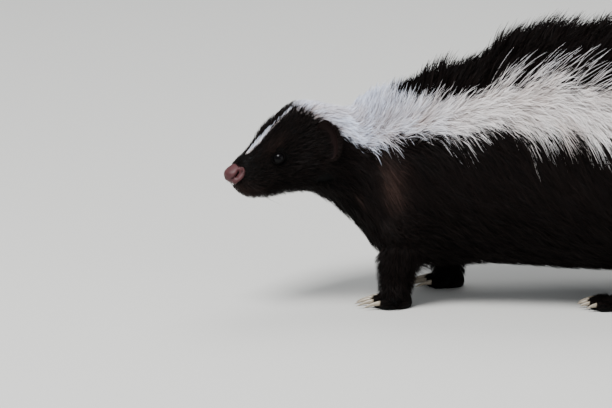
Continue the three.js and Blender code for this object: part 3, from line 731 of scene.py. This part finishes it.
def puff(at, turn):
    # how far tips stand off past the coat's depth, in mm: on the brow, under the jaw, below the chest
    angle = np.abs(turn)
    brow = (1.4 + 1.9 * ease((-turn - 3) / 9)) * bell(at, 33, 12)
    jaw = 2.6 * bell(at, 44, 28) * ease((angle - 112) / 30)
    chest = 10 * bell(at, 127, 15) * ease((angle - 106) / 34)
    return brow * ease((80 - angle) / 40) + jaw + chest


def drift(at, turn):
    # how far a hair turns round the body on its way to its tip, in degrees, away from the back
    angle = np.abs(turn)
    trunk = ease((at - 98) / 34) * ease((392 - at) / 40)
    neck = 8 * bell(angle, 70, 40) * ease((at - 58) / 20) * (1 - trunk)
    upward = -5 * bell(angle, 34, 12)
    downward = 21 * bell(angle, 78, 24) + 8 * bell(angle, 120, 24)
    return np.sign(turn) * (neck + trunk * (upward + downward))


grid = {"from": 4.0, "to": 613, "along": 2.0, "round": 4.0}  # cells that hairs are dealt out to


def bodyRoots():
    # where hairs grow on the head and the body, and how long they may be beside bare skin
    places = np.arange(grid["from"], grid["to"], grid["along"])
    turns = np.arange(-180.0, 180, grid["round"])
    at, turn = np.meshgrid(places, turns, indexing="ij")
    here = bodyPoint(at, turn, 0.5)
    along = bodyPoint(at + grid["along"], turn, 0.5) - here
    area = np.linalg.norm(np.cross(along, bodyPoint(at, turn + grid["round"], 0.5) - here), axis=-1)
    share = (area * hairDense(at) * (1 - 0.3 * (np.abs(turn) > 150))).ravel()
    total = int(share.sum())
    cells = draws.choice(share.size, total, p=share / share.sum())
    cells.sort()
    at = at.ravel()[cells] + draws.uniform(0, grid["along"], total)
    turn = turn.ravel()[cells] + draws.uniform(0, grid["round"], total)
    keep = np.ones(total, bool)
    scale = np.ones(total)
    rootPoint = bodyPoint(at, turn, body["skinLevel"])
    for side in (1, -1):
        centre, back, up, out = eyeFrame(side)
        off = rootPoint - (centre + out * eye["sunk"])
        far = np.hypot((off @ back) / 1.2, off @ up)
        keep &= far > eye["bare"]
        scale = np.minimum(scale, np.clip((far - eye["short"]) / 6, 0.25, 1))
    pad = np.linalg.norm((headLocal(rootPoint) - (nose["at"], 0, nose["height"])) / nose["bare"], axis=1)
    keep &= pad > 1.0
    scale = np.minimum(scale, np.clip((pad - 0.8) / 0.6, 0.3, 1))
    return at[keep], turn[keep], scale[keep]


def drape(centres, turn):
    # hair of the shoulders and thighs lies over the tops of the legs
    for leg in legs.values():
        mine = (np.sign(turn) == -leg["side"]) & (np.abs(turn) > 55) & (np.abs(turn) < 152)
        points = centres[mine]
        z = points[..., 2]
        x, y, long, wide = (curve(z) for curve in leg["curves"])
        share = np.abs(points[..., 0] - x) / (long + 3)
        skin = y + leg["side"] * (wide + 1.0) * np.sqrt(1 - np.minimum(share, 1) ** 2)
        over = ease((z - 36) / 12) * (share < 1)
        push = np.maximum(leg["side"] * (skin - points[..., 1]), 0) * over
        push[:, 0] *= 0.6
        points[..., 1] += leg["side"] * push
        centres[mine] = points
    return centres


def bodyStrands(name, at, turn, scale, steps, taper):
    total = len(at)
    # bunches: a jittered lattice that is even in distance along and round the body
    size = bunchSize(at)
    table = np.arange(0, 660.0)
    row = np.interp(at, table, np.concatenate([[0], np.cumsum(1 / bunchSize(table))])[:-1])
    radius = np.radians(0.5 * halfAt(at) + 0.25 * (topAt(at) - underAt(at)))
    column = turn * radius / size
    i = np.floor(row)
    column = column + 0.5 * (i % 2)
    j = np.floor(column)
    toRow = i + 0.5 + 0.35 * cellDraw(i, j, 1) - row
    toColumn = j + 0.5 + 0.35 * cellDraw(i, j, 2) - column
    angle = np.abs(turn)
    above, below = ease((70 - angle) / 45), ease((angle - 100) / 50)
    long = longAbove(at) * above + longBelow(at) * below + longBeside(at) * (1 - above - below)
    long = long * (1 + 0.16 * cellDraw(i, j, 3) + 0.2 * swing(total)) * scale
    long = long * (1 + 0.5 * bell(at, 127, 15) * below)  # the chest
    end = coat["end"] + 8 * cellDraw(i, j, 11) + 9 * swing(total)
    long = np.minimum(long, end - at)
    short = draws.random(total) < coat["undercoat"]
    up = standing(at, turn)
    loose = ease((at - 20) / 60)
    fringe = ease((angle - 112) / 25) * ease((at - 60) / 20) * ease((190 - at) / 60)
    plume = ease((at - 392) / 50)
    spread = 0.05 + 0.05 * loose + 0.09 * up + 0.28 * fringe + 0.2 * plume
    reach = 0.96 + above * (ridgeReach(at) - 0.96 - 0.1 * up) + 0.1 * fringe
    spread = spread + 0.14 * up * bell(at, 163, 13)  # where the ruff ends
    reach = reach + spread * ((0.6 + 0.5 * up) * cellDraw(i, j, 4) + swing(total))
    reach = reach + 0.34 * bell(at, 360, 17)  # the rump's coat fills the root of the tail
    reach = reach - 0.9 * draws.random(total) * ease((at + long - 585) / 45)
    reach = np.where(short, 0.55 + 0.35 * draws.random(total), reach)
    long = np.where(short, long * 0.7, long)
    low = body["skinLevel"]
    wander = loose * ((6 + 5 * plume) * cellDraw(i, j, 5) + (4 + 3 * up + 5 * plume) * swing(total))
    sweep = drift(at, turn) * (0.8 + 0.3 * swing(total)) + wander
    lean = up * long * (0.25 * cellDraw(i, j, 7) + 0.35 * swing(total))
    bend = loose * 1.2 * swing(2, total)
    stand = puff(at, turn) * (0.7 + 0.3 * swing(total) + 0.3 * cellDraw(i, j, 12)) * scale
    centres = []
    for u in steps:
        draw = (hairPull(at) + 0.25 * up) * u ** 1.3
        rise = (1 - up) * coat["lying"](u) + up * coat["standing"](u)
        wave = math.sin(math.pi * u)
        place = at + long * u + lean * u + draw * toRow * size + wave * bend[0]
        spot = turn + sweep * u ** 1.5 + (draw * toColumn * size + wave * bend[1]) / radius
        level = low + (reach - low) * rise
        centres.append(bodyPoint(place, spot, level, -0.8 if u == 0 else stand * u ** 1.4))
    centres = drape(np.stack(centres, axis=1), turn)
    outward = unit(bodyPoint(at + long * 0.5, turn, 0.6, 5) - bodyPoint(at + long * 0.5, turn, 0.6, 0))
    # a hair that stands up shows its flat side to the animal's side
    if len(steps) > 3:
        flat = np.cross(outward, np.array([1.0, 0.0, 0.0]))
        outward = unit(outward * (1 - 0.75 * up)[:, None] + flat * (0.75 * up * -np.sign(turn))[:, None])
    rough = swing(3, total)
    rough[:2] = 0.5 * rough[:2] + 0.7 * np.stack([cellDraw(i, j, 8), cellDraw(i, j, 9)])
    white = whiteAt(at, turn, rough)
    shade = 0.5 + 0.2 * cellDraw(i, j, 6) + 0.25 * swing(total)
    streak = 0.5 + 0.5 * cellDraw(np.floor(i / 2), j, 10)
    brown = brownAt(at, turn) * (0.35 + 0.85 * streak) * draws.uniform(0.4, 1, total)
    brown = brown + 0.08 * draws.random(total)
    # painted skylight tint on the white, full at the nape and gone by 190 mm behind the nose
    paintedSkyTint = ease((190 - at) / 90)
    # painted shade in blotches: here and there the white hair takes more of its tan root colour, and
    # short hairs stay nearer it
    paintedClumpShade = 0.5 * np.clip(cellDraw(np.floor(i / 3), np.floor(j / 2), 13), 0, 1) * white * loose
    tone = join(white, np.where(short, 0.6, 1) * (1 - paintedClumpShade), shade, np.where(white > 0, paintedSkyTint, brown))
    width = hairWide(at) * draws.uniform(0.75, 1.25, total)
    strandPieces(name, centres, outward, width, tone, bodyUnwrap(at, turn), taper)


def bodyCoat():
    at, turn, scale = bodyRoots()
    face = at < coat["faceEnd"]
    for name, some, steps, taper in (("face_coat", face, "short", "shortTaper"),
                                     ("coat", ~face, "stations", "taper")):
        bodyStrands(name, at[some], turn[some], scale[some], coat[steps], coat[taper])
    total = wisps["count"]
    at = draws.uniform(*wisps["from"], total)
    side = np.where(draws.random(total) < 0.6, 1, -1)
    turn = side * (stripeUpper(at) + draws.uniform(1, 9, total))
    long = draws.uniform(*wisps["long"], total)
    rise = draws.uniform(*wisps["rise"], total)
    curl = draws.uniform(-2.5, 2.5, total)
    reach = draws.uniform(*wisps["reach"], total)
    centres = np.stack([bodyPoint(
        at + long * u, turn - side * (rise * u + curl * math.sin(math.pi * u)),
        body["skinLevel"] + (reach - body["skinLevel"]) * float(coat["lying"](u)))
        for u in wisps["steps"]], axis=1)
    outward = unit(bodyPoint(at, turn, 1, 5) - bodyPoint(at, turn, 1))
    # white hair with a fifth of the painted skylight tint
    tone = np.tile([1.0, 1.0, 0.55, 0.2], (total, 1))
    strandPieces("loose_hairs", centres, outward, np.full(total, wisps["wide"]), tone,
                 bodyUnwrap(at, turn), wisps["taper"])


def headLocal(points):
    # distance back along the skull, to the animal's right, and height
    x, y, z = points[..., 0] + body["noseAhead"], points[..., 1] + sideways, points[..., 2]
    cosine, sine = math.cos(headAngle), math.sin(headAngle)
    return join(x * cosine + y * sine, -x * sine + y * cosine, z)


def headPoint(local):
    # back from headLocal's frame
    x, y, z = np.moveaxis(np.asarray(local, float), -1, 0)
    cosine, sine = math.cos(headAngle), math.sin(headAngle)
    return join(x * cosine - y * sine - body["noseAhead"], x * sine + y * cosine - sideways, z)


def insideBody(points, level):
    # whether a point behind the withers lies inside the body at that level
    at = points[..., 0] - float(np.interp(300, stations, planX)) + 300
    top, under, middle = section(at)
    bare = 1 - level
    side = halfAt(at) - bare * coatBeside(at)
    high = points[..., 2] - middle
    up, down = top - middle - bare * coatAbove(at), middle - under - bare * coatBelow(at)
    reach = np.where(high > 0, up, down)
    n = body["roundness"]
    return (np.abs(points[..., 1]) / side) ** n + (np.abs(high) / reach) ** n < 1


legHair = {
    "dense": 2.0,
    "long": through([8, 20, 40, 70, 96], [4, 6, 10, 15, 18]),
    "wide": through([8, 40, 96], [0.34, 0.42, 0.48]),
}
pawHair = {"pad": 3400, "toe": 360, "long": (2.6, 4.4), "wide": 0.32, "way": (-1.0, 0, -0.25)}


def legCoats():
    for order, (name, leg) in enumerate(legs.items()):
        high = leg["rows"][0][0]
        long, wide = leg["curves"][2:]
        area = sum(4 * math.pi * (long(low) + wide(low)) for low in range(10, high, 4))
        total = int(area * legHair["dense"])
        z = 10 + (high - 10) * draws.random(total) ** 0.8
        angle = draws.uniform(0, 2 * math.pi, total)
        depth = legCoat(z)
        root = limbPoint(leg, z, angle, depth)
        keep = ~insideBody(root, 0.9)
        z, angle, depth = z[keep], angle[keep], depth[keep]
        total = len(z)
        i, j = np.floor(z / 5), np.floor(angle * 4)
        loose = swing(total)
        long = legHair["long"](z) * (1 + 0.15 * cellDraw(i, j, 3) + 0.15 * swing(total))
        centres = []
        for u in coat["short"]:
            fall = np.maximum(z - long * u, 1.5)
            turned = angle + 0.22 * u * cellDraw(i, j, 4) + 0.2 * u * loose
            ahead = leg["fore"] * np.clip(-np.cos(angle), 0, 1) * bell(z, 48, 28)
            out = depth * (1 - 1.05 * u ** 0.7) + (1.2 if u == 0 else 0)
            out = out - u * (4.5 * ahead + 0.9 + 0.9 * cellDraw(i, j, 6))
            point = limbPoint(leg, fall, turned, out)
            here = limbPoint(leg, z, turned, out)
            point = here + (point - here) * np.array([0.6, 0.6, 1.0])
            point[:, 0] += u * long * (0.22 * (1 - ahead) + 0.12 * cellDraw(i, j, 5))
            centres.append(point)
        centres = np.stack(centres, axis=1)
        outward = unit(join(np.cos(angle), np.sin(angle), 0))
        tone = join(0, 1, 0.45 + 0.3 * swing(total), 0.1 * draws.random(total))
        width = legHair["wide"](z) * draws.uniform(0.75, 1.2, total)
        strandPieces(f"{name}_leg_fur", centres, outward, width, tone, legUnwrap(order, z, angle),
                     coat["shortTaper"])
        # short hair on the back of the paw and the toes
        pad, toe = pawHair["pad"], pawHair["toe"]
        out = unit(draws.normal(size=(pad + 5 * toe, 3)))
        out[:, 2] = np.abs(out[:, 2])
        size = (toes["long"][leg["fore"]] - 0.6, toes["half"] - 0.4, toes["tall"] - 0.4)
        root = np.concatenate([padPoint(leg["paw"], out[:pad], 0.8)] + [
            toeCentre(leg, index) + out[pad + toe * index:pad + toe * (index + 1)] * size
            for index in range(5)])
        keep = (root[:, 2] > 2.2) & (root[:, 0] > leg["paw"]["front"] - 3)
        root, out = root[keep], out[keep]
        total = len(root)
        ahead = np.array(pawHair["way"])
        lie = unit(ahead - out * (out @ ahead)[:, None])
        long = draws.uniform(*pawHair["long"], total)[:, None]
        centres = np.stack([root - out * 0.3 + (lie * u + out * (0.42 * u - 0.12 * u * u)) * long
                            for u in coat["short"]], axis=1)
        tone = join(0, 1, 0.4 + 0.3 * swing(total), 0.1 * draws.random(total))
        spots = legUnwrap(order, 100 + 0.3 * root[:, 2], (root[:, 0] - leg["paw"]["front"]) / 12)
        wide = np.full(total, pawHair["wide"])
        strandPieces(f"{name}_paw_fur", centres, out, wide, tone, spots, coat["shortTaper"])


bodyCoat()
print("stage: coat of the body")
legCoats()
print("stage: coat of the legs")

# skin takes the same markings
skinWhite = np.zeros(len(skinPiece.data.vertices))
skinPiece.data.attributes["white"].data.foreach_get("value", skinWhite)
# the skin takes colours near the hairs' roots, so under the white it shows their tan painted shade
setTone(skinPiece.data, join(skinWhite, 0.3, 0.4, 0.0))
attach(skinPiece, "root")
flesh = ["head", "lower_jaw", "neck", "torso", "nape_stripe", "left_stripe", "right_stripe", "blaze",
         "tail_base", "tail_middle", "tail_tip"]
flesh += [f"{name}_{part}" for name in legs for part in ("leg", "paw")]
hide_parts(*flesh)

# clear and glossy, so the lamps show in it
eyeMaterial = plainMaterial("wet cornea over a dark brown iris", "#040304", 0.07, 0.09)
lidMaterial = plainMaterial("bare skin of the lids", "#050404", 0.8, 0.03)  # thin dark hide, matt


def eyeMatrix(side):
    centre, *axes = eyeFrame(side)
    turned = Matrix([[float(x) for x in axis] for axis in axes]).transposed()
    return Matrix.Translation(Vector(centre)) @ turned.to_4x4()


for name, side in (("left", 1), ("right", -1)):
    place = Matrix.Scale(0.001, 4) @ Matrix.Translation(Vector(shift)) @ eyeMatrix(side)
    ballMesh = bmesh.new()
    bmesh.ops.create_uvsphere(ballMesh, u_segments=40, v_segments=28, radius=eye["radius"])
    bmesh.ops.transform(ballMesh, matrix=place, verts=ballMesh.verts)
    ball = objectFrom(ballMesh, f"{name}_eyeball", eyeMaterial)
    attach(ball, "root")
    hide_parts(f"{name}_eye")
    lidMesh = bmesh.new()
    upright = Matrix.Translation((eye["lidRadius"], 0, 0)) @ Matrix.Rotation(math.pi / 2, 4, "X")
    bmesh.ops.create_circle(lidMesh, segments=12, radius=eye["lidThick"], matrix=upright)
    bmesh.ops.spin(lidMesh, geom=lidMesh.verts[:] + lidMesh.edges[:], cent=(0, 0, 0), axis=(0, 0, 1),
                   angle=2 * math.pi, steps=40, use_merge=True)
    for vert in lidMesh.verts:
        corner = abs(vert.co.x) / eye["lidRadius"]
        vert.co.x *= eye["longer"]
        vert.co.y *= eye["lower"]
        vert.co.z += eye["sunk"] + 0.35 - 0.5 * corner
    bmesh.ops.transform(lidMesh, matrix=place, verts=lidMesh.verts)
    lid = objectFrom(lidMesh, f"{name}_lids", lidMaterial)
    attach(lid, "root")
print("stage: eyes")


def distanceTo(points, line):
    # how far points lie from a line through places
    best = np.full(len(points), 1e9)
    for a, b in zip(line[:-1], line[1:]):
        a, b = np.array(a), np.array(b)
        share = np.clip((points - a) @ (b - a) / ((b - a) @ (b - a)), 0, 1)
        best = np.minimum(best, np.linalg.norm(points - (a + share[:, None] * (b - a)), axis=1))
    return best


def noseMap(old):
    p = old * np.array(nose["size"]) + np.array([nose["at"], 0, nose["height"]])
    p[:, 1] *= 1 - 0.22 * ease((nose["height"] + 1 - p[:, 2]) / 8)  # narrower below
    ahead = np.clip(-old[:, 0] + 0.3, 0, 1)
    p[:, 0] += nose["slant"] * ahead * ease((p[:, 2] - nose["height"] - 1.5) / 6)
    p[:, 0] += 1.6 * ahead * ease((nose["height"] - 2 - p[:, 2]) / 6)
    inward = np.zeros(len(p))
    for side in (-1, 1):
        line = [(x, side * y, z) for x, y, z in nose["nostril"]]
        inward += 3.2 * bell(distanceTo(p, line[:3]), 0, 1.15)
        inward += 1.5 * bell(distanceTo(p, line[2:]), 0, 0.7)
        wing = distanceTo(p, [(x, side * y, z) for x, y, z in nose["wing"]])
        inward -= 2.2 * bell(wing, 0, 1.35)
    groove = bell(p[:, 1], 0, 0.55) * ease((nose["height"] + 0.5 - p[:, 2]) / 3)
    inward += 0.8 * groove * (p[:, 0] < nose["at"])
    return headPoint(p - unit(old) * inward[:, None])


noseMaterial = newMaterial("moist hide of the nose pad")  # pebbled hairless skin with a wet film
noseCoords = addNode(noseMaterial, "ShaderNodeTexCoord")
pebbles = addNode(noseMaterial, "ShaderNodeTexVoronoi", {"Scale": 1000 / 0.55},  # pebbles 0.55 mm apart
                  {"Vector": (noseCoords, "Object")})
blotches = addNode(noseMaterial, "ShaderNodeTexNoise", {"Scale": 1000 / 4.0, "Detail": 3.0},
                   {"Vector": (noseCoords, "Object")})
noseTint = mixColours(noseMaterial, (blotches, "Fac"), nose["dark"], nose["colour"])
noseBump = addNode(noseMaterial, "ShaderNodeBump", {"Strength": 0.35, "Distance": 0.00012},
                   {"Height": (pebbles, "Distance")})
finishMaterial(noseMaterial, {"Roughness": 0.5, "Specular IOR Level": 0.26},
               {"Base Color": noseTint, "Normal": (noseBump, "Normal")})
noseMesh = bmesh.new()
addBall(noseMesh, 96, 72, noseMap)
nosePiece = objectFrom(noseMesh, "nose_pad", noseMaterial)
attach(nosePiece, "root")
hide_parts("nose")
print("stage: nose")

ear = {"at": 66.5, "out": 27.5, "height": 122, "half": 7.4, "tall": 13.5, "thick": 5.5, "splay": 0.85,
       "lean": 0.22, "hairs": 6400, "wide": 0.32}
earMaterial = plainMaterial("thin hide of the ears", "#120706", 0.7, 0.12)  # dark reddish brown, matt


def earLocal(side, v):
    # a cupped shell from a point on the unit ball, hollow towards the front
    radius = np.clip(np.hypot(v[..., 1], v[..., 2]), 0, 1)
    bowl = np.sqrt(1 - radius ** 2)
    x = np.where(v[..., 0] > 0, v[..., 0] * ear["thick"], bowl * ear["thick"] * 0.72 - 0.5)
    p = join(x, v[..., 1] * ear["half"], v[..., 2] * ear["tall"])
    a = -side * ear["splay"]
    b = side * ear["lean"]
    lean = np.array([[1, 0, 0], [0, math.cos(b), -math.sin(b)], [0, math.sin(b), math.cos(b)]])
    turn = np.array([[math.cos(a), -math.sin(a), 0], [math.sin(a), math.cos(a), 0], [0, 0, 1]])
    return p @ (turn @ lean).T + np.array([ear["at"], side * ear["out"], ear["height"]])


for name, side in (("left", -1), ("right", 1)):
    earMesh = bmesh.new()
    bmesh.ops.create_uvsphere(earMesh, u_segments=40, v_segments=30, radius=1)
    bmesh.ops.rotate(earMesh, verts=earMesh.verts, matrix=Matrix.Rotation(math.pi / 2, 3, "Y"))
    mapVerts(earMesh.verts, lambda old: headPoint(earLocal(side, old)))
    earPiece = objectFrom(earMesh, f"{name}_ear_cup", earMaterial)
    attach(earPiece, "root")
    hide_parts(f"{name}_ear")
    # hair on the back, the rim and inside the cup
    total = ear["hairs"]
    v = unit(draws.normal(size=(total, 3)))
    root = headPoint(earLocal(side, v))
    back = v[:, 0] > 0
    centre, front, rear = (headPoint(earLocal(side, np.array([[x, 0, 0]]))) for x in (0.0, -0.3, 0.9))
    opening = unit(front - rear)
    out = np.where(back[:, None], unit(root - centre), opening)
    rearward = headPoint([[1.0, 0, 0.25]]) - headPoint([[0.0, 0, 0]])
    rim = unit(root - centre - (root - centre) @ opening[0][:, None] * opening)
    lie = np.where(back[:, None], unit(rearward + 0.25 * rim), unit(0.6 * rim + 0.5 * rearward))
    long = np.where(back, draws.uniform(2.2, 3.6, total), draws.uniform(2, 3.4, total))[:, None]
    long = long * np.where(v[:, 2] > 0.6, 0.6, 1)[:, None]
    centres = np.stack([root - out * 0.2 + (lie * u + out * 0.45 * u) * long
                        for u in coat["short"]], axis=1)
    onRim = np.hypot(v[:, 1], v[:, 2]) > 0.86
    tone = join(0, 1, 0.4 + 0.25 * swing(total), np.where(back | onRim, 0.08, 0.4))
    spots = join(0.5 + 0.1 * v[:, 1] + (0.22 if side > 0 else 0), 0.4)
    strandPieces(f"{name}_ear_fur", centres, unit(out), np.full(total, ear["wide"]), tone, spots,
                 coat["shortTaper"])
print("stage: ears")

claws = {"long": (6.5, 11), "thick": (1.35, 1.5), "sunk": 1.2}  # hind and fore
clawMaterial = newMaterial("horn of the claws")  # grown keratin, darker at the root, satin
clawCoords = addNode(clawMaterial, "ShaderNodeTexCoord")
clawNoise = addNode(clawMaterial, "ShaderNodeTexNoise", {"Scale": 1000 / 1.5},  # streaks 1.5 mm apart
                    {"Vector": (clawCoords, "Object")})
clawTint = mixColours(clawMaterial, (clawNoise, "Fac"), "#6f6355", "#b3a793")
finishMaterial(clawMaterial, {"Roughness": 0.34, "IOR": 1.55}, {"Base Color": clawTint})
for name, leg in legs.items():
    long, thick = claws["long"][leg["fore"]], claws["thick"][leg["fore"]]
    reach = toes["long"][leg["fore"]] - claws["sunk"]
    for index in range(5):
        middle = toeCentre(leg, index)
        bm = bmesh.new()
        bmesh.ops.create_cone(bm, cap_ends=True, segments=12, radius1=1, radius2=0.02, depth=1)
        edges = [e for e in bm.edges if abs(e.verts[0].co.z - e.verts[1].co.z) > 0.5]
        bmesh.ops.subdivide_edges(bm, edges=edges, cuts=7)

        def clawMap(old):
            u = old[:, 2] + 0.5
            size = thick * (1 - u).clip(0.0004, 1) ** 0.7
            spread = unit(old[:, :2])
            outer = np.hypot(old[:, 0], old[:, 1]) > 1e-6
            x = middle[0] - reach - (long + claws["sunk"]) * u
            y = middle[1] + leg["side"] * toes["spread"][index] * 2.5 * u
            z = middle[2] + 1.6 - long * 0.3 * u * u
            return join(x, y + 0.8 * size * spread[:, 0] * outer, z + 1.25 * size * spread[:, 1] * outer)

        mapVerts(bm.verts, clawMap)
        clawPiece = objectFrom(bm, f"{name}_horn_{index + 1}", clawMaterial)
        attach(clawPiece, "root")
        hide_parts(f"{name}_claw_{index + 1}")

whiskers = {"count": 16, "long": 24, "wide": 0.2}
total = whiskers["count"]
spotAt = draws.uniform(10, 17, total)
spotTurn = draws.uniform(82, 112, total) * np.tile([1, -1], total // 2)
root = bodyPoint(spotAt, spotTurn, 0.6)
out = unit(bodyPoint(spotAt, spotTurn, 1, 5) - root)
backWay = unit(headPoint([[1.0, 0, -0.25]]) - headPoint([[0.0, 0, 0]]))
long = (whiskers["long"] * draws.uniform(0.6, 1.2, total))[:, None]
centres = np.stack([root + (out * (0.75 * u) + backWay * (0.55 * u * u)) * long
                    for u in coat["stations"]], axis=1)
tone = np.tile([0.0, 1.0, 0.5, 0.1], (total, 1))
strandPieces("whiskers", centres, out, np.full(total, whiskers["wide"]), tone,
             bodyUnwrap(spotAt, spotTurn), coat["taper"])
print("stage: claws and whiskers")
